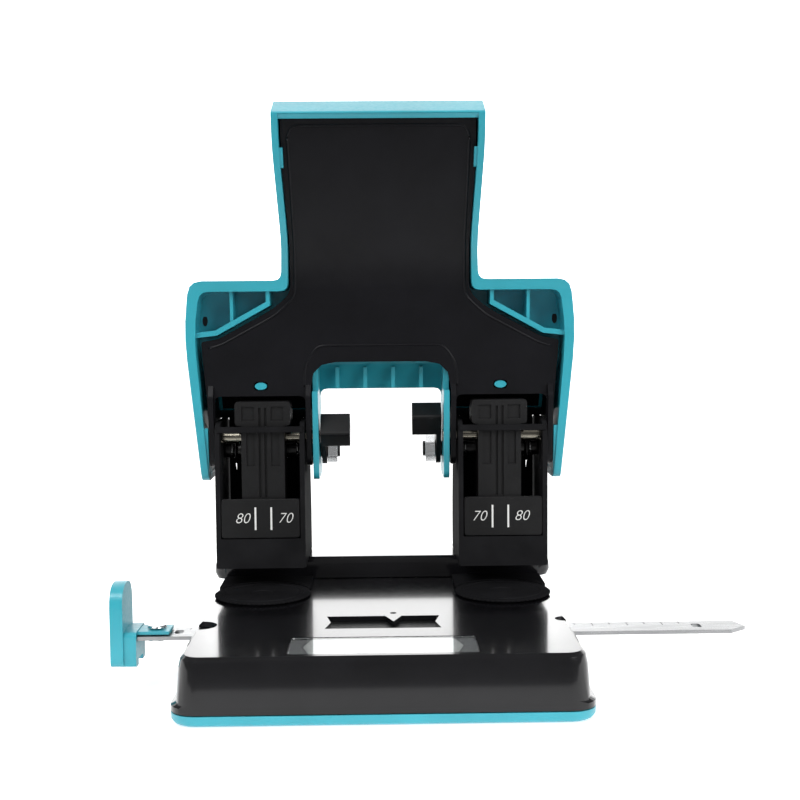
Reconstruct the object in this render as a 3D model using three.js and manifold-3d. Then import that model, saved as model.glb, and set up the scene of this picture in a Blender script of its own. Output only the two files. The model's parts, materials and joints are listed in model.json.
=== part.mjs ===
// Two-hole paper punch with adjustable hole spacing, a raised T-shaped handle and a sliding paper guide.
// Millimetres, +X right, +Y back, +Z up. The origin lies under the middle of the base, on the floor.
import * as THREE from 'three';
import { mergeVertices } from 'three/addons/utils/BufferGeometryUtils.js';
import Module from 'manifold-3d';

const wasm = await Module();
wasm.setup();

// ---- driving dimensions -------------------------------------------------------------------------
const gap = 0.3;
const sheet = 1.5;

const trayHeight = 3;
const baseBottom = trayHeight + gap;
const baseTop = 18;
const baseHalfX = 52.6;
const baseHalfY = 60.6;
const baseY = -3.6;
const flangeHalfX = 55.6;
const flangeHalfY = 61.7;

const backstopY = 30;
const bridge = { halfX: 56.2, depth: 21.5, bottom: baseTop + gap, top: 25.3 };
const towerBottom = 25.6;
const towerTop = 72;
const tower = { inner: 24.3, outer: 52.5, front: 11, rear: 46 };
const plateTop = 47.7;
const panelTop = 35;

const punchX = 37.5;
const punchY = backstopY - 12;
const spacingTravel = 2.5;
const pinRadius = 2.75;
const pinBore = 1.9;
const punchTipZ = 28.8;

const disc = { x: 37.5, y: 5.9, radius: 15, top: 19.3 };
const holder = { inner: 23, outer: 52, front: 13 };

const pivot = { y: 28.5, z: 61.5, radius: 2.5 };
const shaft = { y: 19, z: 66.7, radius: 2 };
const pressAngle = THREE.MathUtils.degToRad(50);

const ruler = { bottom: 15, top: 16.1, front: -35, rear: -25, left: -72, right: 103 };
const rulerY = (ruler.front + ruler.rear) / 2;
const stopX = { outer: -75.9, inner: -72.3, foot: -68.8 };

const flange = { inner: 22.2, outer: 54.6 };
const innerLeg = { near: 19.9, far: 21.7 };
const leverArm = { near: 17.9, far: 19.4 };
const leverPadNear = 10;
const coverWall = 2.2;
const plateEdgeZ = 80;
const archTopZ = 90.7;
const coverArchZ = 81.5;

// ---- materials ----------------------------------------------------------------------------------
const material = (color, roughness, metalness) =>
  new THREE.MeshStandardMaterial({ color, roughness, metalness });
const tealPlastic = material(0x35b5c5, 0.35, 0);
const blackPaint = material(0x17171a, 0.25, 0.2);
const blackPlastic = material(0x1c1c1e, 0.5, 0);
const steel = material(0xc4c7ca, 0.28, 1);
const rubber = material(0x202022, 0.9, 0);
const card = material(0xe9e9e6, 0.6, 0);
const clear = material(0xdfe6ea, 0.08, 0);

// ---- solids: closed shapes, joined and cut --------------------------------------------------------
function toSolid(geometry) {
  const bare = geometry.clone();
  bare.deleteAttribute('normal');
  bare.deleteAttribute('uv');
  const merged = mergeVertices(bare, 1e-4);
  return new wasm.Manifold(new wasm.Mesh({
    numProp: 3,
    vertProperties: new Float32Array(merged.attributes.position.array),
    triVerts: new Uint32Array(merged.index.array),
  }));
}

function toGeometry(solid) {
  const mesh = solid.getMesh();
  const geometry = new THREE.BufferGeometry();
  geometry.setAttribute('position', new THREE.BufferAttribute(new Float32Array(mesh.vertProperties), 3));
  geometry.setIndex(new THREE.BufferAttribute(new Uint32Array(mesh.triVerts), 1));
  geometry.computeVertexNormals();
  return geometry;
}

const join = (...parts) => toGeometry(parts.map(toSolid).reduce((a, b) => a.add(b)));
const cut = (body, ...tools) => toGeometry(tools.map(toSolid).reduce((a, b) => a.subtract(b), toSolid(body)));
const common = (...parts) => toGeometry(parts.map(toSolid).reduce((a, b) => a.intersect(b)));

// A box between two corners, given in any order.
function box(x0, x1, y0, y1, z0, z1) {
  const geometry = new THREE.BoxGeometry(Math.abs(x1 - x0), Math.abs(y1 - y0), Math.abs(z1 - z0));
  return geometry.translate((x0 + x1) / 2, (y0 + y1) / 2, (z0 + z1) / 2);
}

const outline = (points) => new THREE.Shape(points.map(([u, v]) => new THREE.Vector2(u, v)));

// An outline whose corners are rounded: each point is [u, v, radius].
function roundedOutline(points) {
  const shape = new THREE.Shape();
  points.forEach(([u, v, radius], i) => {
    const here = new THREE.Vector2(u, v);
    const before = points[(i + points.length - 1) % points.length];
    const after = points[(i + 1) % points.length];
    const back = new THREE.Vector2(before[0], before[1]).sub(here);
    const ahead = new THREE.Vector2(after[0], after[1]).sub(here);
    const start = here.clone().addScaledVector(back.clone().normalize(), radius);
    const end = here.clone().addScaledVector(ahead.clone().normalize(), radius);
    if (i === 0) shape.moveTo(start.x, start.y);
    else shape.lineTo(start.x, start.y);
    if (radius > 0) shape.quadraticCurveTo(u, v, end.x, end.y);
  });
  shape.closePath();
  return shape;
}

const roundedBox2 = (u0, u1, v0, v1, r) =>
  roundedOutline([[u0, v0, r], [u1, v0, r], [u1, v1, r], [u0, v1, r]]);

function extrude(shape, depth, curveSegments) {
  return new THREE.ExtrudeGeometry(shape, { depth, bevelEnabled: false, curveSegments });
}

// Prisms of an outline along each axis. The outline holds (x, y), (y, z) or (x, z).
function prismZ(shape, z0, z1, curveSegments = 3) {
  return extrude(shape, z1 - z0, curveSegments).translate(0, 0, z0);
}

function prismX(shape, x0, x1, curveSegments = 3) {
  const turn = new THREE.Matrix4().makeBasis(
    new THREE.Vector3(0, 1, 0), new THREE.Vector3(0, 0, 1), new THREE.Vector3(1, 0, 0));
  return extrude(shape, Math.abs(x1 - x0), curveSegments).applyMatrix4(turn).translate(Math.min(x0, x1), 0, 0);
}

function prismY(shape, y0, y1, curveSegments = 3) {
  const turn = new THREE.Matrix4().makeBasis(
    new THREE.Vector3(1, 0, 0), new THREE.Vector3(0, 0, 1), new THREE.Vector3(0, -1, 0));
  return extrude(shape, y1 - y0, curveSegments).applyMatrix4(turn).translate(0, y1, 0);
}

function rodX(radius, x0, x1, y, z, sides = 16) {
  const geometry = new THREE.CylinderGeometry(radius, radius, Math.abs(x1 - x0), sides);
  return geometry.rotateZ(Math.PI / 2).translate((x0 + x1) / 2, y, z);
}

function rodZ(radius, z0, z1, x, y, sides = 16) {
  const geometry = new THREE.CylinderGeometry(radius, radius, z1 - z0, sides);
  return geometry.rotateX(Math.PI / 2).translate(x, y, (z0 + z1) / 2);
}

// A solid of stacked rounded rectangles, each { z, x, y, r } by half-size, lofted one to the next.
function stack(levels, centreY = 0, cornerSteps = 5) {
  const rings = levels.map(({ z, x, y, r }) => {
    const corners = [[x - r, y - r, 0], [r - x, y - r, 1], [r - x, r - y, 2], [x - r, r - y, 3]];
    return corners.flatMap(([cx, cy, quarter]) => Array.from({ length: cornerSteps + 1 }, (_, i) => {
      const angle = (quarter + i / cornerSteps) * Math.PI / 2;
      return [cx + r * Math.cos(angle), cy + r * Math.sin(angle) + centreY, z];
    }));
  });
  const count = rings[0].length;
  const index = [];
  for (let level = 0; level + 1 < rings.length; level++) {
    for (let i = 0; i < count; i++) {
      const a = level * count + i;
      const b = level * count + (i + 1) % count;
      index.push(a, b, b + count, a, b + count, a + count);
    }
  }
  const top = (rings.length - 1) * count;
  for (let i = 1; i + 1 < count; i++) {
    index.push(0, i + 1, i, top, top + i, top + i + 1);
  }
  const geometry = new THREE.BufferGeometry();
  geometry.setAttribute('position', new THREE.Float32BufferAttribute(rings.flat(2), 3));
  geometry.setIndex(index);
  return geometry;
}

// A slot along the arc that a pin follows round the handle pivot, as an outline in (y, z).
function arcSlot(halfWidth, steps = 8) {
  const reach = Math.hypot(shaft.y - pivot.y, shaft.z - pivot.z);
  const start = Math.atan2(shaft.z - pivot.z, shaft.y - pivot.y);
  const at = (radius, angle) => [pivot.y + radius * Math.cos(angle), pivot.z + radius * Math.sin(angle)];
  const along = (radius, from, to) => Array.from({ length: steps + 1 },
    (_, i) => at(radius, from + (to - from) * i / steps));
  const end = start + pressAngle;
  const margin = halfWidth / reach;
  return outline([
    ...along(reach + halfWidth, start - margin * 0.5, end + margin * 0.5),
    at(reach, end + margin),
    ...along(reach - halfWidth, end + margin * 0.5, start - margin * 0.5),
    at(reach, start - margin),
  ]);
}

const object = new THREE.Group();
function add(name, geometry, look, group = object) {
  const mesh = new THREE.Mesh(geometry, look);
  mesh.name = name;
  group.add(mesh);
  return mesh;
}

// ---- base -----------------------------------------------------------------------------------------
const bowTieHalf = 16.3;
const rivetX = -64;
const rulerSlot = [ruler.front - gap, ruler.rear + gap, ruler.bottom - gap, ruler.top + gap];
const screwPlaces = [[30, 40.6], [46, 40.6]];
const cardRecess = { halfX: 25, front: -61.5, rear: -45, floor: 16.4 };

function basePlate() {
  const shell = stack([
    { z: baseBottom, x: flangeHalfX, y: flangeHalfY, r: 7 },
    { z: 4.8, x: flangeHalfX, y: flangeHalfY, r: 7 },
    { z: 5.8, x: baseHalfX + 1.4, y: baseHalfY + 1.2, r: 6 },
    { z: 14.8, x: baseHalfX + 0.7, y: baseHalfY + 0.6, r: 5.6 },
    { z: 17, x: baseHalfX + 0.2, y: baseHalfY + 0.1, r: 5.2 },
    { z: baseTop, x: baseHalfX - 0.8, y: baseHalfY - 0.9, r: 4.4 },
  ], baseY);
  const hollow = stack([
    { z: baseBottom - 1, x: baseHalfX - 0.3, y: baseHalfY - 0.4, r: 4.8 },
    { z: baseTop - sheet, x: baseHalfX - 1.4, y: baseHalfY - 1.4, r: 4 },
  ], baseY);
  const recessBlock = box(-cardRecess.halfX - 1.2, cardRecess.halfX + 1.2, cardRecess.front - 1.2,
    cardRecess.rear + 1.2, cardRecess.floor - 1.2, baseTop - 1);
  const recess = prismZ(roundedBox2(-cardRecess.halfX, cardRecess.halfX, cardRecess.front,
    cardRecess.rear, 0.8), cardRecess.floor, baseTop + 1, 2);
  const bowTie = prismZ(outline([[-bowTieHalf, -36], [bowTieHalf, -36], [bowTieHalf - 1.4, -29],
    [bowTieHalf, -22], [5.4, -22], [3, -28.5], [0.6, -22], [-bowTieHalf, -22],
    [-bowTieHalf + 1.4, -29]]), 14, 20);
  const leftNotch = rodZ(4.6, 14, 20, -51.6, rulerY - 0.6, 24);
  const rightNotch = rodZ(2.6, 14, 20, 51.8, rulerY + 2.4, 20);

  const slot = box(-60, 60, ...rulerSlot);
  const screwHoles = [-1, 1].flatMap((side) =>
    screwPlaces.map(([x, y]) => rodZ(2.4, 14, 20, side * x, y, 16)));
  const solid = join(cut(shell, hollow), recessBlock);
  return cut(solid, recess, bowTie, leftNotch, rightNotch, slot, rodZ(1, 14, 20, 3, -18.6, 12),
    ...screwHoles);
}

const footPlaces = [[-42, -52], [42, -52], [42, 44], [-42, 44]];
const footRadius = 6;

function chipTray() {
  const slab = stack([
    { z: 0, x: flangeHalfX - 1.5, y: flangeHalfY - 1.5, r: 5.6 },
    { z: 0.4, x: flangeHalfX - 0.7, y: flangeHalfY - 0.7, r: 6.4 },
    { z: 1.3, x: flangeHalfX - 0.1, y: flangeHalfY - 0.1, r: 6.9 },
    { z: trayHeight, x: flangeHalfX, y: flangeHalfY, r: 7 },
  ], baseY);
  const rim = stack([
    { z: 2, x: baseHalfX - 1.6, y: baseHalfY - 1.7, r: 3.6 },
    { z: 8, x: baseHalfX - 2, y: baseHalfY - 2.2, r: 3.2 },
  ], baseY);
  const hollow = stack([
    { z: 1.6, x: baseHalfX - 3.4, y: baseHalfY - 3.6, r: 2 },
    { z: 9, x: baseHalfX - 3.4, y: baseHalfY - 3.6, r: 2 },
  ], baseY);
  const recesses = footPlaces.map(([x, y]) => rodZ(footRadius + gap, -1, 1, x, y, 24));
  return cut(join(slab, rim), hollow, ...recesses);
}

const base = new THREE.Group();
object.add(base);
add('base_plate', basePlate(), blackPaint, base);
add('chip_tray', chipTray(), tealPlastic, base);
footPlaces.forEach(([x, y], i) => add(`foot_${i + 1}`, rodZ(footRadius, 0, 1 - gap, x, y, 24), rubber, base));

function rearBridge() {
  const middleY = backstopY + bridge.depth / 2;
  const half = bridge.depth / 2;
  const outer = stack([
    { z: bridge.bottom, x: bridge.halfX - 0.9, y: half, r: 4 },
    { z: 20, x: bridge.halfX, y: half, r: 4.4 },
    { z: 22.8, x: bridge.halfX - 0.2, y: half, r: 4.4 },
    { z: 24.5, x: bridge.halfX - 1.6, y: half - 0.3, r: 3.8 },
    { z: bridge.top, x: bridge.halfX - 3.6, y: half - 1, r: 3 },
  ], middleY, 4);
  const hollow = stack([
    { z: 17, x: bridge.halfX - sheet - 0.9, y: half - sheet, r: 2.5 },
    { z: 23.4, x: bridge.halfX - 4.2, y: half - sheet - 0.6, r: 2 },
  ], middleY, 2);
  const holes = [-1, 1].flatMap((side) => screwPlaces.map(([x, y]) => rodZ(2.4, 15, 30, side * x, y, 16)));
  return cut(outer, hollow, ...holes);
}
add('rear_bridge', rearBridge(), blackPaint, base);

const recessPane = (inset, z0, z1) => prismZ(roundedBox2(-cardRecess.halfX + inset, cardRecess.halfX - inset,
  cardRecess.front + inset, cardRecess.rear - inset, 0.6), z0, z1, 2);
add('label_card', recessPane(gap, cardRecess.floor + 0.2, cardRecess.floor + 0.5), card, base);
add('label_window', recessPane(gap, cardRecess.floor + 0.8, baseTop - 0.1), clear, base);

// ---- paper guide ------------------------------------------------------------------------------------
const guide = new THREE.Group();
object.add(guide);

function guideRuler() {
  const strip = outline([[ruler.left, ruler.front], [ruler.right - 5, ruler.front],
    [ruler.right, ruler.front + 4], [ruler.right - 2, ruler.rear], [ruler.left, ruler.rear]]);
  const rivetHole = rodZ(1.9, 10, 20, rivetX, rulerY, 16);
  const markSlot = prismZ(roundedBox2(-59, -56.6, rulerY - 2, rulerY + 2, 1), 10, 20, 3);
  const endSlot = prismZ(roundedBox2(88, 90.6, rulerY - 2, rulerY + 2, 1), 10, 20, 3);
  return cut(prismZ(strip, ruler.bottom, ruler.top), rivetHole, markSlot, endSlot);
}
add('guide_ruler', guideRuler(), steel, guide);

function endStop() {
  const faceOutline = roundedOutline([[rulerY - 7, 7.8, 2], [rulerY + 7, 7.8, 2],
    [rulerY + 7, 30.7, 6.5], [rulerY - 7, 30.7, 6.5]]);
  const face = prismX(faceOutline, stopX.outer, stopX.inner, 5);
  const footBlock = prismX(roundedOutline([[rulerY - 6.4, 7.8, 1], [rulerY + 6.4, 7.8, 1],
    [rulerY + 6.4, 17.6, 1.5], [rulerY - 6.4, 17.6, 1.5]]),
    stopX.inner - 1, stopX.foot, 3);
  const tongue = box(stopX.inner - 1, -60, rulerY - 4, rulerY + 4, ruler.top + gap, ruler.top + 1.2);
  const pocket = box(stopX.inner - 2.6, -60, ruler.front - gap, ruler.rear + gap,
    ruler.bottom - gap, ruler.top + gap);
  const bottomNotch = box(stopX.outer + 1.6, stopX.foot + 1, rulerY - 3, rulerY + 3, 5, 9.4);
  const body = join(cut(join(face, footBlock), pocket), tongue);
  return cut(body, bottomNotch, rodZ(1.9, 10, 20, rivetX, rulerY, 16));
}
add('guide_end_stop', endStop(), tealPlastic, guide);

function flatRivet() {
  const profile = [[0, 14.1], [3, 14.1], [3, 14.7], [1.6, 14.7],
    [1.6, 17.6], [2.8, 17.6], [2.4, 18.3], [0, 18.5]];
  return new THREE.LatheGeometry(profile.map(([r, h]) => new THREE.Vector2(r, h)), 16)
    .rotateX(Math.PI / 2).translate(rivetX, rulerY, 0);
}
add('end_stop_rivet', flatRivet(), steel, guide);

const channelHalf = 14;
add('guide_channel', prismX(outline([[ruler.front - 2.2, 16.2], [ruler.front - 2.2, 12.8],
  [ruler.rear + 2.2, 12.8], [ruler.rear + 2.2, 16.2], [ruler.rear + 1.2, 16.2], [ruler.rear + 1.2, 13.8],
  [ruler.front - 1.2, 13.8], [ruler.front - 1.2, 16.2]]), -channelHalf, channelHalf), steel, base);

// ---- one punch unit on each side --------------------------------------------------------------------
const towerWalls = [[tower.inner, tower.inner + sheet], [tower.outer - sheet, tower.outer]];

function towerFrame(side) {
  const wallShape = roundedOutline([[tower.front, towerBottom, 0.5], [tower.rear, towerBottom, 0.5],
    [tower.rear, 40, 4], [39, towerTop, 7], [tower.front, towerTop, 6]]);
  const walls = towerWalls.map(([x0, x1]) => prismX(wallShape, side * x0, side * x1, 5));
  const across = (y0, y1, z0, z1) =>
    box(side * (tower.inner + 0.5), side * (tower.outer - 0.5), y0, y1, z0, z1);
  const floor = across(tower.front, tower.rear, towerBottom, towerBottom + sheet);
  const panel = across(tower.front, tower.front + 1.4, towerBottom, panelTop);
  const strip = across(tower.front, tower.front + 1.4, 68.8, 70.6);
  const collars = screwPlaces.map(([x, y]) => rodZ(3.6, towerBottom, 31, side * x, y, 16));
  const body = join(...walls, floor, panel, strip, ...collars);
  const snoutSlot = prismZ(roundedBox2(side * punchX - 7.2, side * punchX + 7.2,
    punchY - 4.6, punchY + 4.6, 4.4), 20, 30, 4);
  const screwHoles = screwPlaces.map(([x, y]) => rodZ(2.35, 20, 34, side * x, y, 16));
  const arc = prismX(arcSlot(shaft.radius + 0.4), side * 20, side * 60);
  const pivotHole = rodX(pivot.radius + gap, side * 20, side * 60, pivot.y, pivot.z);
  return cut(body, snoutSlot, arc, pivotHole, ...screwHoles);
}

function scalePlate(side) {
  return prismY(roundedBox2(side * 38.4 - 12.3, side * 38.4 + 12.3, panelTop + gap, plateTop, 0.8),
    tower.front, tower.front + 1.2, 2);
}

function discHolder(side) {
  const x0 = side * holder.inner;
  const x1 = side * holder.outer;
  const plate = roundedOutline([[x0, holder.front, 0.2], [x1, holder.front, 0.2],
    [x1, backstopY - gap, 1], [x0, backstopY - gap, 1]]);
  const seat = rodZ(disc.radius + gap, 10, 30, side * disc.x, disc.y, 40);
  return cut(prismZ(plate, baseTop + gap, disc.top - 0.1), seat);
}

// A replaceable disc that the punch pin cuts against. Its knurled rim lets it be turned to a fresh spot.
function cuttingDisc(side) {
  const knurls = 30;
  const points = Array.from({ length: knurls * 2 }, (_, i) => {
    const angle = i * Math.PI / knurls;
    const radius = disc.radius - (i % 2) * 0.5;
    return [side * disc.x + radius * Math.cos(angle), disc.y + radius * Math.sin(angle)];
  });
  return prismZ(outline(points), baseTop + gap, disc.top);
}

const guideTop = 36;
const screen = { front: 33.1, rear: 34.3, top: 72.4 };

// The block that guides the punch pin and slides sideways in the tower. A thin screen rises behind it.
function guideBlock(side) {
  const x = side * punchX;
  const floorTop = towerBottom + sheet + gap;
  const reach = sheet + gap + spacingTravel;
  const screenPlate = box(side * (tower.inner + reach), side * (tower.outer - reach),
    screen.front, screen.rear, floorTop, screen.top);
  const shelf = box(x - 8, x + 8, 23, screen.front + 0.5, floorTop, floorTop + 2.4);
  const body = prismZ(roundedBox2(x - 8.5, x + 8.5, 12.9, 24, 1.5), towerBottom + sheet + gap, guideTop, 2);
  const snout = rodZ(4.2, towerBottom + gap, 29, x, punchY);
  return cut(join(body, snout, shelf, screenPlate), rodZ(pinRadius + gap, 20, 40, x, punchY));
}

const carrier = { front: 12.8, rear: 23.4, bottom: 46, neckZ: 70.8, top: 78.4, half: 6.8, headHalf: 8.75 };
const springTop = 57;
const pinTop = 61.5;
function punchCarrier(side) {
  const x = side * punchX;
  const stem = box(x - carrier.half, x + carrier.half, carrier.front, carrier.rear,
    carrier.bottom, carrier.top - 1);
  const head = prismY(roundedBox2(x - carrier.headHalf, x + carrier.headHalf, carrier.neckZ, carrier.top, 1),
    carrier.front, carrier.rear, 2);
  const groove = (near, far, z0, z1) => [-1, 1].map((way) =>
    box(x + way * near, x + way * far, carrier.front - 1, carrier.front + 0.6, z0, z1));
  const grooves = [...groove(0.5, 1.3, 48, 76.5), ...groove(2.6, 5.2, 58, 69.5),
    ...groove(2.6, 6.6, 72.4, 76.8)];
  const shaftSlot = prismX(roundedBox2(17.7 - shaft.radius - 0.4, shaft.y + shaft.radius + 0.4,
    shaft.z - shaft.radius - 0.4, shaft.z + shaft.radius + 0.4, 2), x - 20, x + 20, 3);
  const springPocket = rodZ(4.3, 40, springTop, x, punchY, 24);
  const pinSeat = rodZ(pinRadius + gap, 50, pinTop + gap, x, punchY);
  return cut(join(stem, head), shaftSlot, springPocket, pinSeat, ...grooves);
}

function punchPin(side) {
  const bore = rodZ(pinBore, 20, 58, side * punchX, punchY, 16);
  const pin = rodZ(pinRadius, punchTipZ, pinTop, side * punchX, punchY, 24);
  return cut(pin, bore);
}

class Helix extends THREE.Curve {
  constructor(radius, bottom, top, turns) {
    super();
    Object.assign(this, { radius, bottom, top, turns });
  }

  getPoint(t) {
    const angle = t * this.turns * Math.PI * 2;
    return new THREE.Vector3(this.radius * Math.cos(angle), this.radius * Math.sin(angle),
      this.bottom + (this.top - this.bottom) * t);
  }
}

function returnSpring(side) {
  const turns = 6;
  const wireRadius = 0.4;
  const wire = outline(Array.from({ length: 5 }, (_, i) =>
    [wireRadius * Math.cos(i * Math.PI * 0.4), wireRadius * Math.sin(i * Math.PI * 0.4)]));
  const path = new Helix(3.6, guideTop + 0.8, springTop - 0.8, turns);
  return new THREE.ExtrudeGeometry(wire, { extrudePath: path, steps: turns * 9, bevelEnabled: false })
    .translate(side * punchX, punchY, 0);
}

const pinEnds = { inner: 13.6, outer: 54.7 };
function pivotPin(side) {
  const rod = rodX(pivot.radius, side * pinEnds.inner, side * pinEnds.outer, pivot.y, pivot.z);
  const groove = cut(rodX(4, side * 47, side * 48.2, pivot.y, pivot.z),
    rodX(1.9, side * 46, side * 50, pivot.y, pivot.z));
  return cut(rod, groove);
}

// A retaining clip that snaps into the pivot pin's groove, open at the back.
function pivotClip(side) {
  const ring = cut(rodX(4.3, side * 47.3, side * 47.9, pivot.y, pivot.z, 24),
    rodX(2.2, side * 46, side * 50, pivot.y, pivot.z, 20));
  return cut(ring, box(side * 46, side * 50, pivot.y, pivot.y + 8, pivot.z - 1.9, pivot.z + 1.9));
}

function socketScrew(side, x, y) {
  const head = rodZ(3.4, baseTop - sheet - gap - 2.4, baseTop - sheet - gap, side * x, y, 16);
  const stem = rodZ(2, 15, 30, side * x, y, 16);
  const socket = rodZ(1.5, 12, baseTop - sheet - gap - 1.2, side * x, y, 6);
  return cut(join(head, stem), socket);
}

// ---- lock lever on the inner end of each pivot pin ---------------------------------------------------
const leverReach = 12;
const leverLean = { left: 53, right: 31 };
function lockLever(side, leanDegrees) {
  const lean = THREE.MathUtils.degToRad(leanDegrees);
  const arm = prismX(roundedOutline([[-4.6, -4.6, 4.5], [4.6, -4.6, 4.5], [3.6, leverReach + 3.4, 1.5],
    [-3.6, leverReach + 3.4, 1.5]]), side * leverArm.near, side * leverArm.far, 4);
  const pad = prismX(roundedOutline([[-4.1, leverReach - 4, 1.2], [4.1, leverReach - 4, 1.2],
    [4.1, leverReach + 4, 1.2], [-4.1, leverReach + 4, 1.2]]), side * leverPadNear, side * leverArm.far, 3);
  const hole = rodX(pivot.radius + gap, side * 10, side * 30, 0, 0);
  return cut(join(arm, pad), hole).rotateX(lean);
}

function leverNut(side) {
  const hexagon = rodX(4.4, side * 14.4, side * 17.6, 0, 0, 6);
  return cut(hexagon, rodX(pivot.radius + gap, side * 10, side * 20, 0, 0));
}

for (const [name, side] of [['left', -1], ['right', 1]]) {
  const unit = new THREE.Group();
  object.add(unit);
  add(`${name}_tower_frame`, towerFrame(side), blackPaint, unit);
  add(`${name}_scale_plate`, scalePlate(side), blackPlastic, unit);
  add(`${name}_disc_holder`, discHolder(side), blackPlastic, unit);
  add(`${name}_cutting_disc`, cuttingDisc(side), blackPlastic, unit);
  add(`${name}_guide_block`, guideBlock(side), blackPlastic, unit);
  add(`${name}_punch_carrier`, punchCarrier(side), blackPlastic, unit);
  add(`${name}_punch_pin`, punchPin(side), steel, unit);
  add(`${name}_return_spring`, returnSpring(side), steel, unit);
  add(`${name}_pivot_pin`, pivotPin(side), steel, unit);
  add(`${name}_pivot_clip`, pivotClip(side), steel, unit);
  screwPlaces.forEach(([x, y], i) =>
    add(`${name}_tower_screw_${i + 1}`, socketScrew(side, x, y), steel, unit));
  const clamp = new THREE.Group();
  clamp.position.set(0, pivot.y, pivot.z);
  unit.add(clamp);
  add(`${name}_lock_lever`, lockLever(side, leverLean[name]), blackPlastic, clamp);
  add(`${name}_lever_nut`, leverNut(side), steel, clamp);
}

// ---- handle ----------------------------------------------------------------------------------------
// The rim line is the front edge of the handle's side view: nearly upright up to the shoulders,
// then leaning forward up to the tip. A depth behind the rim gives every other surface.
const rimFoot = { y: 15.4, z: 53 };
const rimBend = { y: 8.5, z: 116 };
const rimTip = { y: -14.9, z: 164 };
const lowLean = Math.atan2(rimFoot.y - rimBend.y, rimBend.z - rimFoot.z);
const highLean = Math.atan2(rimBend.y - rimTip.y, rimTip.z - rimBend.z);

function behindRim(depth, inset = 0) {
  const tip = [rimTip.y + depth * Math.cos(highLean) + inset * Math.sin(highLean),
    rimTip.z + depth * Math.sin(highLean) - inset * Math.cos(highLean)];
  const middle = (lowLean + highLean) / 2;
  const bend = [rimBend.y + depth * Math.cos(middle), rimBend.z + depth * Math.sin(middle)];
  const low = (z) => [rimFoot.y + depth * Math.cos(lowLean) - (z - rimFoot.z) * Math.tan(lowLean), z];
  return { tip, bend, low };
}

const gripDepth = 13;
const corner = 8;

// The side view of the handle between two depths, as an outline in (y, z), down to a given height.
function sideView(front, back, bottom, inset = 0) {
  const a = behindRim(front, inset);
  const b = behindRim(back, inset);
  const round = Math.min(3, (back - front) / 4);
  return roundedOutline([[...a.low(bottom), 0.3], [...a.bend, corner], [...a.tip, round / 4],
    [...b.tip, round], [...b.bend, corner], [...b.low(bottom), 0.3]]);
}

// The skirts that reach round the pivot, as an outline in (y, z).
const skirtView = (inset) => roundedOutline([[rimFoot.y + inset, 53 + inset, 2.5], [36 - inset, 53 + inset, 6],
  [38.6 - inset, 66, 5], [behindRim(gripDepth - inset).low(92)[0], 92, 6],
  [behindRim(inset ? 2 : 0).low(92)[0], 92, 0.3]]);

// An outline in (x, z) from the corners of its right half, mirrored to the left.
const bothHalves = (half) => roundedOutline([...half, ...half.toReversed().map(([x, z, r]) => [-x, z, r])]);

// The T-shaped front view. The inset draws the inside of the cover's wall.
const frontView = (inset) => bothHalves([
  [57 - inset, 50, 0.5], [61.4 - inset * 1.4, 101, 9],
  [59.2 - inset * 1.4, 116.3 - inset * 1.5, 4 - inset / 2],
  [30.6 - inset * 0.9, 116.3 - inset * 1.5, 2.5], [30 - inset * 0.9, 128, 4],
  [31.3 - inset * 0.9, 155, 4], [30.9 - inset * 0.9, 175, 0.5]]);

const mirrored = (build) => [-1, 1].map(build);

function handleCover() {
  const wide = 70;
  const front = prismY(frontView(0), -40, 60);
  const hull = common(join(prismX(sideView(0, gripDepth, 80), -wide, wide), prismX(skirtView(0), -wide, wide)),
    front);
  const inside = common(join(prismX(sideView(-3, gripDepth - coverWall, 70, coverWall), -wide, wide),
    prismX(skirtView(coverWall), -wide, wide), prismX(sideView(-6, 0.5, 50), -wide, wide)),
  prismY(frontView(coverWall), -45, 65));
  const arch = prismY(roundedOutline([[-innerLeg.near, 40, 0], [innerLeg.near, 40, 0],
    [innerLeg.near, coverArchZ, 2.5], [-innerLeg.near, coverArchZ, 2.5]]), -40, 70);
  const underLegs = mirrored((side) => box(side * (innerLeg.near - 2), side * 54.9, -10, 70, 40, 74.5));
  const shell = cut(hull, inside, arch, ...underLegs);
  const legView = cut(prismX(skirtView(0), -1, 1), prismX(sideView(-5, 4.6, 81.5), -3, 3));
  const legs = mirrored((side) => legView.clone()
    .scale((innerLeg.far - innerLeg.near) / 2, 1, 1)
    .translate(side * (innerLeg.near + innerLeg.far) / 2, 0, 0));
  const archRibs = [-14, -5, 4, 13].map((x) => common(box(x - 0.6, x + 0.6, -10, 60, coverArchZ + 0.5, archTopZ - 2),
    prismX(sideView(9.4, gripDepth - 1, 75), -wide, wide)));
  const pocketRibs = mirrored((side) => [
    common(box(side * 46, side * 47, -10, 60, 102, 115),
      prismX(sideView(2.2, gripDepth - 1, 75), -wide, wide)),
    common(box(side * 34.4, side * 35.6, -10, 60, 109, 115),
      prismX(sideView(1.2, gripDepth - 1, 75), -wide, wide)),
    common(prismY(outline([[side * 34.4, 110.4], [side * 34.4, 108.6], [side * 51.2, 99.4], [side * 60, 98.4],
      [side * 60, 100], [side * 51.6, 101]]), -10, 60),
    prismX(sideView(1.2, gripDepth - 1, 75), -wide, wide), prismY(frontView(1), -45, 65)),
  ]).flat();
  const clips = mirrored((side) => common(box(side * 28.2, side * 30.4, -20, 30, 149, 154.5),
    prismX(sideView(0.4, 2.2, 75), -wide, wide)));
  const body = join(shell, ...legs, ...archRibs, ...pocketRibs, ...clips);
  const pins = mirrored((side) => [
    rodX(pivot.radius + gap, side * 15, side * 54.95, pivot.y, pivot.z),
    rodX(shaft.radius + gap, side * 15, side * 54.95, shaft.y, shaft.z)]).flat();
  return cut(body, ...pins);
}

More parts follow.
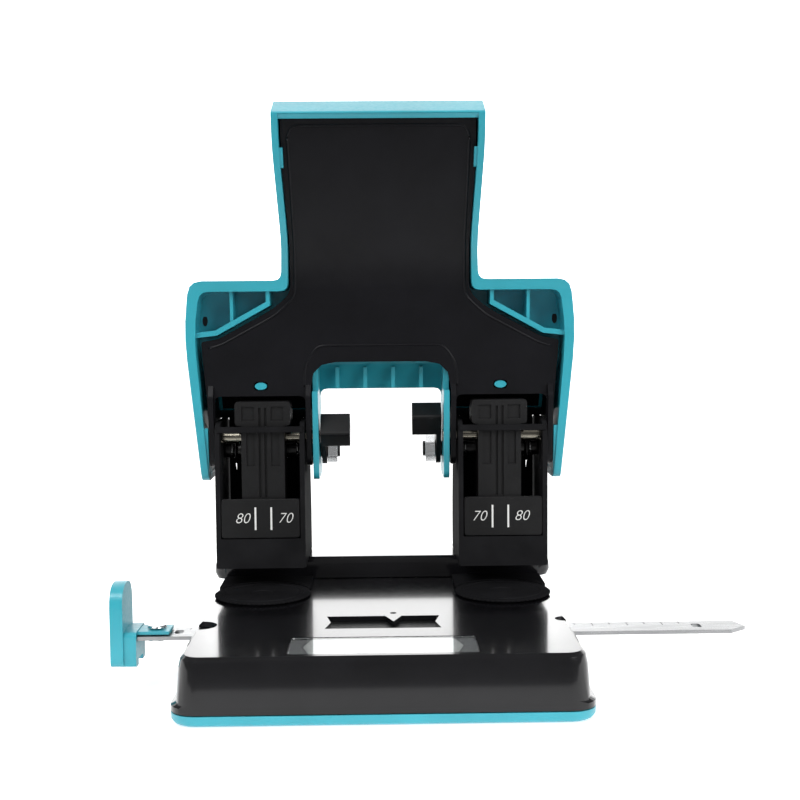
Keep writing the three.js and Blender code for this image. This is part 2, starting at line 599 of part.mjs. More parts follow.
function handlePlate() {
  const wide = 70;
  const reach = 0.45;
  const tipZ = 160;
  const outer = bothHalves([[flange.outer, 70, 0], [56.4, 97.4, 1], [51, 98.2, 2], [33.8, 107.4, 3],
    [27.9, 112.4, 3], [27.6, 128, 3], [28.9, 150, 3], [28.4, tipZ + 12, 0]]);
  const faceDepth = 2.6;
  const face = common(prismX(sideView(faceDepth, faceDepth + sheet, 70, coverWall + reach), -wide, wide),
    prismY(outer, -40, 60));
  const mouths = mirrored((side) => prismY(roundedOutline([[side * 24, 60, 0], [side * 52.8, 60, 0],
    [side * 52.8, plateEdgeZ, 2], [side * 24, plateEdgeZ, 2]]), -40, 60));
  const arch = prismY(roundedOutline([[-flange.inner, 60, 0], [flange.inner, 60, 0],
    [flange.inner, archTopZ, 8], [-flange.inner, archTopZ, 8]]), -40, 60);
  const flangeView = roundedOutline([[...behindRim(0.2).low(57.5), 3], [35.6, 57.5, 4.5], [35, 66, 3.5],
    [behindRim(10).low(86)[0], 86, 4], [behindRim(faceDepth + 0.4).low(93)[0], 93, 0.3],
    [behindRim(faceDepth + 0.4).low(84)[0], 84, 0.3], [...behindRim(0.2).low(80), 1]]);
  const flanges = mirrored((side) => [
    prismX(flangeView, side * flange.inner, side * (flange.inner + sheet + 0.1)),
    prismX(flangeView, side * (flange.outer - sheet - 0.1), side * flange.outer)]).flat();
  const windows = mirrored((side) =>
    prismY(roundedBox2(side * 38 - 2.3, side * 38 + 2.3, 81.8, 84.6, 1.4), -40, 60, 3));
  const shell = cut(face, ...mouths, arch, ...windows);
  const pins = mirrored((side) => [
    rodX(pivot.radius + gap, side * 15, side * 60, pivot.y, pivot.z),
    rodX(shaft.radius + gap, side * 15, side * 60, shaft.y, shaft.z)]).flat();
  return cut(join(shell, ...flanges), ...pins);
}

const handle = new THREE.Group();
object.add(handle);
add('handle_cover', handleCover(), tealPlastic, handle);
add('handle_plate', handlePlate(), blackPaint, handle);
for (const [name, side] of [['left', -1], ['right', 1]]) {
  add(`${name}_drive_shaft`, rodX(shaft.radius, side * 19.7, side * 54.7, shaft.y, shaft.z), steel, handle);
}

export default object;
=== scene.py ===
import json
import math

import bmesh
import bpy
from mathutils import Euler, Matrix, Vector
from mathutils.bvhtree import BVHTree


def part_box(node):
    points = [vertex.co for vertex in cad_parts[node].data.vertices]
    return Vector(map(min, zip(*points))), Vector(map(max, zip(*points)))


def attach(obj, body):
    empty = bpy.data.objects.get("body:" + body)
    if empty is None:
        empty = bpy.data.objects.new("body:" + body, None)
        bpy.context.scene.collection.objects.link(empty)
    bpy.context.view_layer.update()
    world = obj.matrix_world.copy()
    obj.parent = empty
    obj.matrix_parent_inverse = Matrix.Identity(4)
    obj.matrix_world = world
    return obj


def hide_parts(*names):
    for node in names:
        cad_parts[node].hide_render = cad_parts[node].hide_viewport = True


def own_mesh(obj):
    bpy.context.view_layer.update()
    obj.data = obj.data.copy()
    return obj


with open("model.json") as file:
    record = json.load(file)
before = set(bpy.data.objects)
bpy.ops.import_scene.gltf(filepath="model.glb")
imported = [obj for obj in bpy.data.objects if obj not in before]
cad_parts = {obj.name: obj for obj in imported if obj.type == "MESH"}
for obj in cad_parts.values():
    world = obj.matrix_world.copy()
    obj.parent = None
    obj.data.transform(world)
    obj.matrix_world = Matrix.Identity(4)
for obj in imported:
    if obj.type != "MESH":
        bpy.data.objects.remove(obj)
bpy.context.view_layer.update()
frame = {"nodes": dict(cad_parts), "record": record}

MM = 0.001
SIDES = (("left", -1), ("right", 1))
nodes = frame["nodes"]


# ---- camera, floor and light ---------------------------------------------------------------------
def add_camera():
    """The camera: close to the punch, a little above it and looking slightly down."""
    data = bpy.data.cameras.new("camera")
    data.sensor_width = 36
    data.lens = 54.7
    data.clip_start = 0.01
    camera = bpy.data.objects.new("camera", data)
    camera.location = (0, -0.3705, 0.104)
    aim = Euler((math.radians(86.2), 0, math.radians(-0.9))).to_matrix()
    roll = Matrix.Rotation(math.radians(-0.5), 3, "Z")
    camera.rotation_euler = (aim @ roll).to_euler()
    bpy.context.scene.collection.objects.link(camera)
    bpy.context.scene.camera = camera


def add_area_light(name, place, target, size, power):
    """A rectangular light at a place, turned towards a target."""
    data = bpy.data.lights.new(name, "AREA")
    data.shape = "RECTANGLE"
    data.size = size[0]
    data.size_y = size[1]
    data.energy = power
    light = bpy.data.objects.new(name, data)
    light.location = place
    light.rotation_euler = (Vector(target) - Vector(place)).to_track_quat("-Z", "Y").to_euler()
    bpy.context.scene.collection.objects.link(light)


def add_studio():
    """A plain white world and three soft lights, shown without the default view's greying of white."""
    world = bpy.data.worlds.new("studio")
    world.use_nodes = True
    background = world.node_tree.nodes["Background"]
    background.inputs["Color"].default_value = (1, 1, 1, 1)
    background.inputs["Strength"].default_value = 0.3
    bpy.context.scene.world = world
    bpy.context.scene.view_settings.view_transform = "Standard"
    add_area_light("key", (-0.45, -0.6, 0.75), (0, 0, 0.09), (0.5, 0.5), 6.5)
    add_area_light("fill", (0.6, -0.6, 0.4), (0, 0, 0.08), (0.5, 0.5), 5)
    add_area_light("top", (0, 0.1, 0.9), (0, 0, 0.05), (0.6, 0.6), 1.2)


def add_plane(name, look, size, place, tilt):
    """A large flat piece of the studio."""
    bm = bmesh.new()
    bmesh.ops.create_grid(bm, x_segments=4, y_segments=4, size=size)
    mesh = bpy.data.meshes.new(name)
    bm.to_mesh(mesh)
    bm.free()
    plane = bpy.data.objects.new(name, mesh)
    plane.location = place
    plane.rotation_euler.x = tilt
    mesh.materials.append(LOOKS[look])
    bpy.context.scene.collection.objects.link(plane)


# ---- materials -----------------------------------------------------------------------------------
class Surface:
    """A node material whose colour, roughness and fine relief vary over the surface."""

    def __init__(self, name, colour, roughness, metallic=0.0, coat=0.0):
        self.material = bpy.data.materials.new(name)
        self.material.use_nodes = True
        self.tree = self.material.node_tree
        self.shader = self.tree.nodes["Principled BSDF"]
        self.set("Base Color", (*colour, 1))
        self.set("Roughness", roughness)
        self.set("Metallic", metallic)
        self.set("Coat Weight", coat)
        self.colour = colour
        self.roughness = roughness

    def set(self, socket, value):
        self.shader.inputs[socket].default_value = value

    def add(self, kind, **values):
        node = self.tree.nodes.new(kind)
        for key, value in values.items():
            setattr(node, key, value)
        return node

    def link(self, out, into):
        self.tree.links.new(out, into)

    def noise(self, scale, detail=3.0, stretch=(1, 1, 1)):
        """Noise at a scale in features per metre, stretched along an axis where stretch is below 1."""
        place = self.add("ShaderNodeTexCoord")
        mapping = self.add("ShaderNodeMapping")
        mapping.inputs["Scale"].default_value = stretch
        noise = self.add("ShaderNodeTexNoise")
        noise.inputs["Scale"].default_value = scale
        noise.inputs["Detail"].default_value = detail
        self.link(place.outputs["Object"], mapping.inputs["Vector"])
        self.link(mapping.outputs["Vector"], noise.inputs["Vector"])
        return noise.outputs["Fac"]

    def spread(self, factor, low, high):
        """Maps the middle of a noise's range onto low to high."""
        node = self.add("ShaderNodeMapRange")
        node.inputs["From Min"].default_value = 0.3
        node.inputs["From Max"].default_value = 0.7
        node.inputs["To Min"].default_value = low
        node.inputs["To Max"].default_value = high
        self.link(factor, node.inputs["Value"])
        return node.outputs["Result"]

    def vary_colour(self, factor, amount):
        """Darkens and lightens the base colour by up to amount."""
        mix = self.add("ShaderNodeMix", data_type="RGBA")
        mix.inputs["A"].default_value = (*[c * (1 - amount) for c in self.colour], 1)
        mix.inputs["B"].default_value = (*[min(1, c * (1 + amount)) for c in self.colour], 1)
        self.link(self.spread(factor, 0, 1), mix.inputs["Factor"])
        self.link(mix.outputs["Result"], self.shader.inputs["Base Color"])
        return self

    def vary_roughness(self, factor, amount):
        low = max(0.02, self.roughness - amount)
        self.link(self.spread(factor, low, self.roughness + amount), self.shader.inputs["Roughness"])
        return self

    def relief(self, factor, height, strength=0.4):
        """Fine bumps up to height metres."""
        bump = self.add("ShaderNodeBump")
        bump.inputs["Strength"].default_value = strength
        bump.inputs["Distance"].default_value = height
        self.link(factor, bump.inputs["Height"])
        self.link(bump.outputs["Normal"], self.shader.inputs["Normal"])
        return self


def teal_plastic():
    look = Surface("teal_plastic", (0.025, 0.33, 0.41), 0.36, coat=0.2)
    look.set("Coat Roughness", 0.15)
    look.vary_colour(look.noise(60, 4), 0.06)
    look.vary_roughness(look.noise(900, 5), 0.07)
    return look.relief(look.noise(2500, 2), 0.00003, 0.25).material


def gloss_paint():
    look = Surface("gloss_paint", (0.005, 0.005, 0.006), 0.2, coat=1.0)
    look.set("Specular IOR Level", 0.15)
    look.set("Coat Roughness", 0.09)
    look.set("Coat IOR", 1.32)
    look.vary_colour(look.noise(80, 4), 0.25)
    look.vary_roughness(look.noise(900, 3), 0.02)
    return look.relief(look.noise(1800, 2), 0.000004, 0.1).material


def satin_paint():
    look = Surface("satin_paint", (0.005, 0.005, 0.0065), 0.34)
    look.set("Specular IOR Level", 0.18)
    look.vary_colour(look.noise(70, 4), 0.2)
    look.vary_roughness(look.noise(1500, 3), 0.03)
    return look.relief(look.noise(3000, 3), 0.00001, 0.15).material


def tower_paint():
    look = Surface("tower_paint", (0.012, 0.012, 0.013), 0.5, coat=0.06)
    look.set("Specular IOR Level", 0)
    look.set("Coat Roughness", 0.3)
    look.vary_colour(look.noise(120, 4), 0.2)
    return look.relief(look.noise(3000, 3), 0.00001, 0.15).material


def black_plastic():
    look = Surface("black_plastic", (0.008, 0.008, 0.0085), 0.46)
    look.set("Specular IOR Level", 0.25)
    look.vary_colour(look.noise(90, 4), 0.2)
    look.vary_roughness(look.noise(1500, 4), 0.06)
    return look.relief(look.noise(5000, 2), 0.00003, 0.3).material


def dull_plastic():
    look = Surface("dull_plastic", (0.011, 0.011, 0.012), 0.6)
    look.set("Specular IOR Level", 0)
    look.vary_colour(look.noise(90, 4), 0.2)
    return look.relief(look.noise(4000, 2), 0.00003, 0.3).material


def dark_steel():
    look = Surface("dark_steel", (0.06, 0.06, 0.06), 0.35, metallic=1.0)
    look.vary_colour(look.noise(200, 4), 0.15)
    look.vary_roughness(look.noise(2500, 4), 0.08)
    return look.relief(look.noise(4000, 3), 0.00002, 0.25).material


def bright_steel():
    look = Surface("bright_steel", (0.74, 0.75, 0.76), 0.2, metallic=1.0)
    look.vary_colour(look.noise(120, 4), 0.08)
    look.vary_roughness(look.noise(3000, 4, stretch=(0.03, 1, 1)), 0.1)
    return look.relief(look.noise(5000, 3, stretch=(0.02, 1, 1)), 0.00002, 0.3).material


def shaft_steel():
    look = Surface("shaft_steel", (0.3, 0.28, 0.23), 0.2, metallic=1.0)
    look.vary_colour(look.noise(120, 4), 0.08)
    look.vary_roughness(look.noise(3000, 4, stretch=(0.03, 1, 1)), 0.06)
    return look.relief(look.noise(5000, 3, stretch=(0.02, 1, 1)), 0.00002, 0.3).material


def ruler_steel():
    look = Surface("ruler_steel", (0.34, 0.345, 0.35), 0.3, metallic=1.0)
    look.vary_colour(look.noise(90, 4, stretch=(0.2, 1, 1)), 0.12)
    look.vary_roughness(look.noise(2500, 4, stretch=(0.03, 1, 1)), 0.08)
    return look.relief(look.noise(4000, 3, stretch=(0.02, 1, 1)), 0.00002, 0.25).material


def grey_rubber():
    look = Surface("grey_rubber", (0.02, 0.02, 0.02), 0.85)
    look.vary_colour(look.noise(200, 4), 0.3)
    return look.relief(look.noise(3000, 3), 0.00008, 0.5).material


def white_card():
    look = Surface("white_card", (0.78, 0.78, 0.75), 0.5)
    look.vary_colour(look.noise(800, 5), 0.05)
    return look.relief(look.noise(5000, 4), 0.00002, 0.3).material


def grey_card():
    look = Surface("grey_card", (0.3, 0.3, 0.3), 0.55)
    look.vary_colour(look.noise(800, 5), 0.08)
    return look.relief(look.noise(5000, 4), 0.00002, 0.3).material


def clear_plastic():
    look = Surface("clear_plastic", (0.95, 0.97, 0.98), 0.05)
    look.set("Transmission Weight", 1.0)
    look.set("IOR", 1.45)
    return look.relief(look.noise(150, 3), 0.00002, 0.15).material


def white_ink():
    look = Surface("white_ink", (0.75, 0.75, 0.73), 0.5)
    return look.vary_colour(look.noise(3000, 4), 0.08).material


def dark_ink():
    look = Surface("dark_ink", (0.05, 0.05, 0.05), 0.5)
    return look.vary_colour(look.noise(3000, 4), 0.15).material


def glowing_white(name, strength):
    """A white studio surface that gives some light of its own, so that it stays white in the picture."""
    look = Surface(name, (0.9, 0.9, 0.9), 0.8)
    look.set("Emission Color", (1, 1, 1, 1))
    look.set("Emission Strength", strength)
    return look.vary_colour(look.noise(2, 2), 0.01).material


LOOKS = {
    "teal": teal_plastic(), "gloss": gloss_paint(), "satin": satin_paint(), "plastic": black_plastic(),
    "steel": bright_steel(), "rubber": grey_rubber(), "card": white_card(), "grey_card": grey_card(),
    "clear": clear_plastic(), "white_ink": white_ink(), "dark_ink": dark_ink(),
    "floor": glowing_white("studio_floor", 0.55),
    "backdrop": glowing_white("studio_backdrop", 1.2), "glow": glowing_white("studio_glow", 1.7),
    "ruler": ruler_steel(), "dull": dull_plastic(), "dark_steel": dark_steel(), "tower": tower_paint(),
    "shaft": shaft_steel(),
}


def node_look(name):
    """The look of a CAD node: its own where it has one, and otherwise that of its material slot."""
    slot = {part["node"]: part["material_slot"] for part in frame["record"]["subparts"]}[name]
    if name == "guide_ruler":
        return LOOKS["ruler"]
    if name.endswith("drive_shaft"):
        return LOOKS["shaft"]
    if name.endswith("tower_frame"):
        return LOOKS["tower"]
    if name == "label_card":
        return LOOKS["grey_card"]
    if name.endswith(("pivot_pin", "pivot_clip")):
        return LOOKS["dark_steel"]
    if name.endswith(("disc_holder", "guide_block")):
        return LOOKS["dull"]
    if name in ("base_plate", "rear_bridge"):
        return LOOKS["gloss"]
    return LOOKS[{
        "teal_plastic": "teal", "black_paint": "satin", "black_plastic": "plastic", "steel": "steel",
        "rubber": "rubber", "card": "card", "clear_window": "clear",
    }[slot]]


# ---- making pieces -------------------------------------------------------------------------------
def add_piece(name, mesh, look, body):
    """A new piece that rides on a body, with one of the script's looks as its finish."""
    piece = bpy.data.objects.new(name, mesh)
    bpy.context.scene.collection.objects.link(piece)
    mesh.materials.clear()
    mesh.materials.append(LOOKS[look])
    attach(piece, body)
    return piece


def soften_edges(piece, width, segments=2, angle=32):
    """Rounds a piece's edges and shades its flat faces flat, all by modifiers."""
    weld = piece.modifiers.new("weld", "WELD")
    weld.merge_threshold = 0.00001
    clean = piece.modifiers.new("clean", "DECIMATE")
    clean.decimate_type = "DISSOLVE"
    clean.angle_limit = math.radians(0.6)
    bevel = piece.modifiers.new("bevel", "BEVEL")
    bevel.width = width
    bevel.segments = segments
    bevel.limit_method = "ANGLE"
    bevel.angle_limit = math.radians(angle)
    bevel.harden_normals = True
    for polygon in piece.data.polygons:
        polygon.use_smooth = True
    piece.modifiers.new("normals", "WEIGHTED_NORMAL").keep_sharp = True


def finished_mesh(name, bm):
    """The mesh of a bmesh, with its faces turned outwards."""
    bmesh.ops.recalc_face_normals(bm, faces=bm.faces)
    mesh = bpy.data.meshes.new(name)
    bm.to_mesh(mesh)
    bm.free()
    return mesh


def tube_mesh(name, points, radius, sides=10, closed=False):
    """A round tube along points, with its ends capped unless it is closed."""
    bm = bmesh.new()
    count = len(points)
    rings = []
    previous = None
    for i, point in enumerate(points):
        ahead = points[(i + 1) % count] if closed or i + 1 < count else point
        behind = points[i - 1] if closed or i > 0 else point
        along = (ahead - behind).normalized()
        side = previous - along * previous.dot(along) if previous else along.orthogonal()
        side.normalize()
        previous = side
        up = along.cross(side)
        turns = [2 * math.pi * k / sides for k in range(sides)]
        rings.append([bm.verts.new(point + radius * (math.cos(a) * side + math.sin(a) * up)) for a in turns])
    for i in range(count if closed else count - 1):
        a, b = rings[i], rings[(i + 1) % count]
        for k in range(sides):
            bm.faces.new((a[k], a[(k + 1) % sides], b[(k + 1) % sides], b[k]))
    if not closed:
        bm.faces.new(rings[0])
        bm.faces.new(list(reversed(rings[-1])))
    mesh = finished_mesh(name, bm)
    mesh.shade_smooth()
    return mesh


def prism_mesh(name, outline, bottom, top, to_world):
    """A prism of a closed outline of (u, v) points; to_world turns (u, v, w) into the frame."""
    bm = bmesh.new()
    low = [bm.verts.new(to_world(u, v, bottom)) for u, v in outline]
    high = [bm.verts.new(to_world(u, v, top)) for u, v in outline]
    count = len(outline)
    for i in range(count):
        bm.faces.new((low[i], low[(i + 1) % count], high[(i + 1) % count], high[i]))
    bm.faces.new(list(reversed(low)))
    bm.faces.new(high)
    return finished_mesh(name, bm)


def stadium(half_x, half_z, steps=20):
    """A closed oval outline in metres."""
    turns = [2 * math.pi * i / steps for i in range(steps)]
    return [(half_x * MM * math.cos(a), half_z * MM * math.sin(a)) for a in turns]


# ---- scale marks on the punch heads --------------------------------------------------------------
def text_mesh(name, words, size, thickness, shear=0.28):
    """Slanted lettering as a thin solid, centred on the origin and facing up."""
    curve = bpy.data.curves.new(name, "FONT")
    curve.body = words
    curve.size = size
    curve.shear = shear
    curve.extrude = thickness / 2
    curve.offset = -0.018 * size
    curve.align_x = "CENTER"
    curve.align_y = "CENTER"
    holder = bpy.data.objects.new(name, curve)
    bpy.context.scene.collection.objects.link(holder)
    mesh = bpy.data.meshes.new_from_object(holder.evaluated_get(bpy.context.evaluated_depsgraph_get()))
    bpy.data.objects.remove(holder)
    return mesh


def add_scale_marks():
    """A tick and a number for each spacing on each scale plate; a tick stands at half its spacing."""
    ink = 0.00006
    digit_size = 4.7 * MM
    half_x, half_z = 0.00028, 0.0036
    tick_outline = [(-half_x, -half_z), (half_x, -half_z), (half_x, half_z), (-half_x, half_z)]
    for name, side in SIDES:
        low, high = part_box(f"{name}_scale_plate")
        middle_z = (low.z + high.z) / 2
        face_y = low.y - ink / 2
        for spacing, offset, away in (("70", 35, -4.3), ("80", 40, 4.2)):
            tick = prism_mesh(f"{name}_tick_{spacing}", tick_outline, -ink, ink,
                              lambda u, v, w: Vector((side * offset * MM + u, face_y + w, middle_z + v)))
            add_piece(f"{name}_tick_{spacing}", tick, "white_ink", "base")
            digits = text_mesh(f"{name}_digits_{spacing}", spacing, digit_size, ink)
            digits.transform(Matrix.Translation((side * (offset + away) * MM, face_y, middle_z))
                             @ Matrix.Rotation(math.pi / 2, 4, "X"))
            add_piece(f"{name}_digits_{spacing}", digits, "white_ink", "base")


# ---- springs -------------------------------------------------------------------------------------
def add_springs():
    """A coil of round wire in place of each plain return spring."""
    wire = 0.42 * MM
    turns = 8
    steps = 36 * turns
    for name, _ in SIDES:
        low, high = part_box(f"{name}_return_spring")
        centre = (low + high) / 2
        radius = (high.x - low.x) / 2 - wire
        bottom, top = low.z + wire, high.z - wire
        points = []
        for i in range(steps + 1):
            angle = 2 * math.pi * turns * i / steps
            height = bottom + (top - bottom) * i / steps
            points.append(Vector((centre.x + radius * math.cos(angle),
                                  centre.y + radius * math.sin(angle), height)))
        coil = tube_mesh("spring", points, wire)
        spring = add_piece(f"{name}_spring_coil", coil, "steel", f"{name}_punch")
        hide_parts(f"{name}_return_spring")
        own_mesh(spring)


# ---- knurled cutting discs -----------------------------------------------------------------------
def add_cutting_discs():
    """A disc with a knurled rim and a low raised ring, in place of each plain disc."""
    knurls, knurl_depth = 60, 0.00035
    count = knurls * 4
    for name, _ in SIDES:
        low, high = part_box(f"{name}_cutting_disc")
        centre = (low + high) / 2
        radius = (high.x - low.x) / 2
        ring = radius - 0.0026
        rings = [(radius - 0.0006, low.z, 0), (radius, low.z + 0.0002, 1), (radius, high.z - 0.0005, 1),
                 (radius - 0.0005, high.z - 0.0003, 0), (ring + 0.0003, high.z - 0.0003, 0),
                 (ring, high.z, 0), (ring - 0.0005, high.z, 0), (ring - 0.0008, high.z - 0.0003, 0),
                 (0.004, high.z - 0.0003, 0), (0.0036, high.z - 0.0006, 0)]
        bm = bmesh.new()
        loops = []
        for ring_radius, z, knurled in rings:
            loop = []
            for i in range(count):
                dip = knurl_depth * knurled if i % 4 in (2, 3) else 0
                angle = 2 * math.pi * i / count
                reach = ring_radius - dip
                loop.append(bm.verts.new((centre.x + reach * math.cos(angle),
                                          centre.y + reach * math.sin(angle), z)))
            loops.append(loop)
        for a, b in zip(loops, loops[1:]):
            for i in range(count):
                bm.faces.new((a[i], a[(i + 1) % count], b[(i + 1) % count], b[i]))
        bm.faces.new(list(reversed(loops[0])))
        bm.faces.new(loops[-1])
        mesh = finished_mesh("cutting_disc", bm)
        piece = add_piece(f"{name}_knurled_disc", mesh, "dull", f"{name}_disc")
        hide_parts(f"{name}_cutting_disc")


# ---- pressed and fitted details, and sheets of painted shade -------------------------------------
SURFACES = {}


def surface_y(node, x, z):
    """The depth of the first surface of a node met from the front, at x and z in millimetres."""
    tree = SURFACES.setdefault(node, BVHTree.FromObject(nodes[node], bpy.context.evaluated_depsgraph_get()))
    place, _, _, _ = tree.ray_cast(Vector((x * MM, -0.3, z * MM)), Vector((0, 1, 0)))
    return place.y / MM if place else None


def smooth_route(corners, step=1.0):
    """Points about a step apart along straight runs between corners, with the corners rounded."""
    points = []
    for a, b in zip(corners, corners[1:]):
        count = max(2, round((b - a).length / step))
        points += [a.lerp(b, i / count) for i in range(count)]
    points.append(corners[-1])
    for _ in range(6):
        inner = [(a + 2 * b + c) / 4 for a, b, c in zip(points, points[1:], points[2:])]
        points = [points[0], *inner, points[-1]]
    return points


def add_bead(name, corners, radius):
    """A pressed bead along the front of the handle plate, through (x, z) corners in millimetres."""
    route = smooth_route([Vector((x, z)) for x, z in corners])
    points = []
    for x, z in route:
        y = surface_y("handle_plate", x, z)
        if y is not None:
            points.append(Vector((x, y + radius * 0.45, z)) * MM)
    add_piece(name, tube_mesh(name, points, radius * MM, 12), "satin", "handle")


def add_handle_details():
    """Beads along the plate's edges, the cover's bosses that show through it, and slots in the pockets."""
    _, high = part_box("handle_plate")
    tip = high.z / MM
    boss_x, boss_z = 38, 83.2
    slot_x, slot_z = 56, 104
    for name, side in SIDES:
        add_bead(f"{name}_edge_bead", [(side * 26.9, tip - 6), (side * 26.2, 128), (side * 26.6, 111.4),
                                       (side * 32.8, 105.6), (side * 50.4, 96.2), (side * 54, 95.4)], 0.45)
        face = surface_y("handle_plate", side * boss_x, 86.5)
        boss = prism_mesh("boss", stadium(1.9, 1.15), (face + 0.5) * MM, (face + 4) * MM,
                          lambda u, v, w: Vector((side * boss_x * MM + u, w, boss_z * MM + v)))
        add_piece(f"{name}_cover_boss", boss, "teal", "handle")
        pocket_back = surface_y("handle_cover", side * slot_x, slot_z)
        slot = prism_mesh("slot", stadium(0.8, 1.7), (pocket_back - 0.15) * MM, (pocket_back + 0.4) * MM,
                          lambda u, v, w: Vector((side * slot_x * MM + u, w, slot_z * MM + v)))
        add_piece(f"{name}_pocket_slot", slot, "plastic", "handle")
    add_bead("arch_bead", [(-24.2, 83), (-24, 90), (-20, 96), (20, 96), (24, 90), (24.2, 83)], 0.45)
    add_bead("tip_bead", [(-26.9, tip - 6), (-26, tip - 2.4), (26, tip - 2.4), (26.9, tip - 6)], 0.4)


def add_label_strip():
    """The paper strip under the clear window, with a point at each end."""
    low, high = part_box("label_card")
    middle = (low + high) / 2
    half_x = (high.x - low.x) * 0.395
    half_y = (high.y - low.y) * 0.46
    point = 0.002
    outline = [(-half_x, -half_y), (half_x, -half_y), (half_x + point, 0), (half_x, half_y),
               (-half_x, half_y), (-half_x - point, 0)]
    mesh = prism_mesh("strip", outline, high.z, high.z + 0.00012,
                      lambda u, v, w: Vector((middle.x + u, middle.y + v, w)))
    add_piece("label_strip", mesh, "card", "base")
    edge = [Vector((middle.x + u, middle.y + v, high.z + 0.00014)) for u, v in outline]
    line = tube_mesh("outline", edge, 0.00013, 6, closed=True)
    add_piece("label_outline", line, "dark_ink", "base")


def add_window_shade_sheet():
    """Painted shade: a dark strip seen through the window in the base, between the ruler and the base's top
    sheet, that paints the shade and dark reflection on the ruler there.
    """
    ruler_low, ruler_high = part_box("guide_ruler")
    bottom = ruler_high.z + 0.0001
    half_x, front, rear = 0.0175, ruler_low.y - 0.0018, ruler_high.y + 0.0035
    outline = [(-half_x, front), (half_x, front), (half_x, rear), (-half_x, rear)]
    mesh = prism_mesh("shade_sheet", outline, bottom, bottom + 0.0002, lambda u, v, w: Vector((u, v, w)))
    # A dark sheet of painted shade over the ruler, not a real part.
    add_piece("window_shade_sheet", mesh, "plastic", "base")


def add_ruler_marks():
    """Short engraved lines along the rear edge of the ruler, every 5 mm, longer every 10 mm."""
    low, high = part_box("guide_ruler")
    step, half_x, ink = 0.005, 0.00012, 0.00003
    first = math.ceil((low.x + 0.012) / step)
    last = math.floor((high.x - 0.016) / step)
    for i in range(first, last + 1):
        long = 0.0032 if i % 2 == 0 else 0.0019
        mesh = prism_mesh("mark", [(-half_x, 0), (half_x, 0), (half_x, long), (-half_x, long)],
                          high.z - ink, high.z + ink,
                          lambda u, v, w: Vector((i * step + u, high.y - 0.0006 - long + v, w)))
        add_piece(f"ruler_mark_{i - first}", mesh, "dark_ink", "paper_guide")


def add_spring_hooks():
    """A small wire hook at each side of a punch carrier, in the clear space before the pivot pin."""
    inner_x, outer_x = 0.0274, 0.0486
    swing_y, swing_z, wire = 0.0006, 0.0022, 0.0003
    tail_x, tail_z = 0.0008, 0.002
    turns = [math.radians(200 - 26 * k) for k in range(9)]
    for name, side in SIDES:
        _, carrier_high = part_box(f"{name}_punch_carrier")
        pin_low, pin_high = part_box(f"{name}_pivot_pin")
        middle = Vector((0, (carrier_high.y + pin_low.y) / 2, (pin_low.z + pin_high.z) / 2))
        for label, x in (("inner", inner_x), ("outer", outer_x)):
            arc = [middle + Vector((side * x, swing_y * math.cos(a), swing_z * math.sin(a))) for a in turns]
            arc.append(arc[-1] + Vector((side * tail_x, 0, -tail_z)))
            add_piece(f"{name}_{label}_hook", tube_mesh("hook", arc, wire, 8), "steel", "base")


def add_scale_shade_sheets():
    """Painted shade: a thin dark strip just behind each scale plate, from wall to wall of the tower, so the
    gaps around the plate show as shade.
    """
    past, below, thickness = 0.0002, 0.0013, 0.0002
    for name, _ in SIDES:
        low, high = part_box(f"{name}_scale_plate")
        left, right, bottom, top = low.x - past, high.x + past, low.z - below, high.z - 0.0001
        outline = [(left, bottom), (right, bottom), (right, top), (left, top)]
        mesh = prism_mesh("shade_sheet", outline, high.y + past, high.y + past + thickness,
                          lambda u, v, w: Vector((u, w, v)))
        # A dark sheet of painted shade behind the plate, not a real part.
        add_piece(f"{name}_scale_shade_sheet", mesh, "dull", "base")


def add_tower_shade_sheets():
    """Painted shade: a thin dark sheet across the back of each tower, open behind the middle and in one thin
    wedge, standing in for the shade inside the tower.

    It is as wide as the scale plate between the walls, and wider above them.
    """
    front, thickness = 0.0345, 0.0004
    bottom, wedge_tip, shoulder, wall_top, top = 0.044, 0.054, 0.0645, 0.0717, 0.0752
    middle_inner, wide_inner, wide_outer = 0.030, 0.0246, 0.054
    for name, side in SIDES:
        low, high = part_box(f"{name}_scale_plate")
        inner, outer = sorted((abs(low.x), abs(high.x)))
        outline = [(inner, bottom), (middle_inner, bottom), (middle_inner, shoulder), (0.0499, shoulder),
                   (0.0484, wedge_tip), (0.0481, bottom), (outer, bottom), (outer, wall_top),
                   (wide_outer, wall_top), (wide_outer, top), (wide_inner, top), (wide_inner, wall_top),
                   (inner, wall_top)]
        mesh = prism_mesh("back", [(side * x, z) for x, z in outline], front, front + thickness,
                          lambda u, v, w: Vector((u, w, v)))
        # A dark sheet of painted shade across the tower's back, not a real part.
        add_piece(f"{name}_tower_shade_sheet", mesh, "dull", "base")


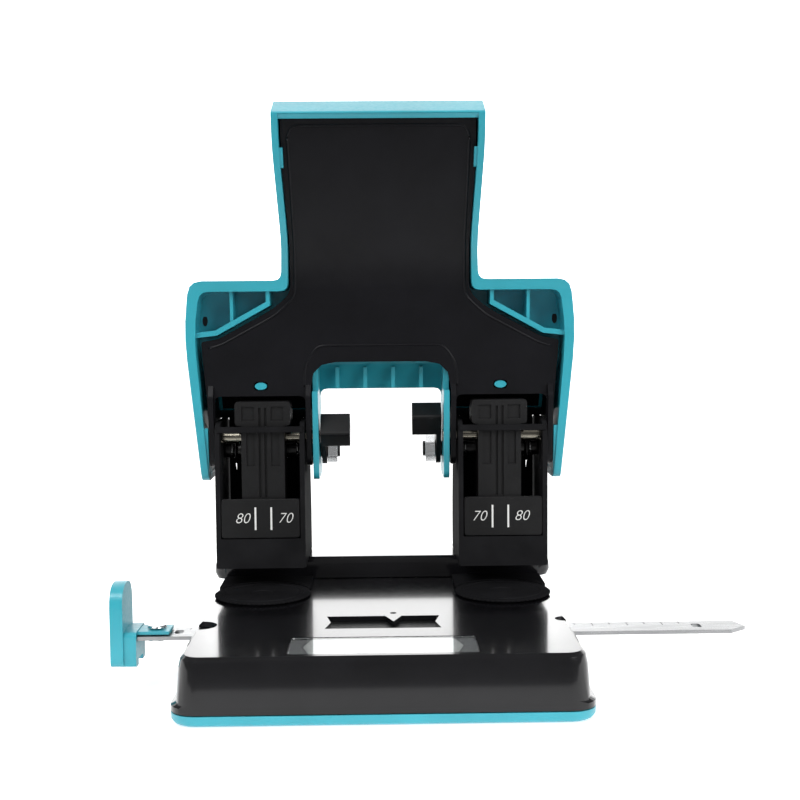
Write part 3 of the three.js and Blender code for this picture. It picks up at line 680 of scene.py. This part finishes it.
def add_cover_shade_sheets():
    """Painted shade: a thin dark skin on the inside of the teal cover, behind each punch head, darkening it
    where shade falls.
    """
    gap, thickness, steps = 0.08, 0.1, 12
    inner, outer, bottom, top = 24.2, 52.2, 75.0, 96
    for name, side in SIDES:
        bm = bmesh.new()
        grid = []
        for i in range(steps + 1):
            x = side * (inner + (outer - inner) * i / steps)
            heights = [bottom + (top - bottom) * j / steps for j in range(steps + 1)]
            backs = [surface_y("handle_cover", x, z) - gap for z in heights]
            grid.append([[bm.verts.new(Vector((x, y - depth, z)) * MM) for depth in (0, thickness)]
                         for y, z in zip(backs, heights)])
        for layer in (0, 1):
            for i in range(steps):
                for j in range(steps):
                    bm.faces.new((grid[i][j][layer], grid[i + 1][j][layer],
                                  grid[i + 1][j + 1][layer], grid[i][j + 1][layer]))
        rim = [(k, 0) for k in range(steps)] + [(steps, k) for k in range(steps)]
        rim += [(k, steps) for k in range(steps, 0, -1)] + [(0, k) for k in range(steps, 0, -1)]
        for (i, j), (k, m) in zip(rim, rim[1:] + rim[:1]):
            bm.faces.new((grid[i][j][0], grid[k][m][0], grid[k][m][1], grid[i][j][1]))
        mesh = finished_mesh("cover_shade_sheet", bm)
        # A dark skin of painted shade inside the teal cover, not a real part.
        add_piece(f"{name}_cover_shade_sheet", mesh, "dull", "handle")


# ---- everything ----------------------------------------------------------------------------------
def finish_nodes():
    """Gives each CAD node its look, and rounds its edges by a width in millimetres."""
    widths = {"handle_cover": 0.8, "base_plate": 0.35, "guide_end_stop": 0.7, "chip_tray": 0.4,
              "rear_bridge": 0.4}
    for name, piece in nodes.items():
        piece.data.materials.clear()
        piece.data.materials.append(node_look(name))
        if "spring" in name or "label" in name:
            continue
        soften_edges(piece, widths.get(name, 0.22) * MM)


add_camera()
add_studio()
add_plane("floor", "floor", 3, (0, 2.87, -0.0002), 0)
add_plane("backdrop", "backdrop", 4, (0, 3, 2), math.pi / 2)
add_plane("glow", "glow", 0.45, (0, 2.9, 0.75), math.pi / 2)
finish_nodes()
add_scale_marks()
add_springs()
add_cutting_discs()
add_handle_details()
add_label_strip()
add_window_shade_sheet()
add_ruler_marks()
add_spring_hooks()
add_scale_shade_sheets()
add_tower_shade_sheets()
add_cover_shade_sheets()
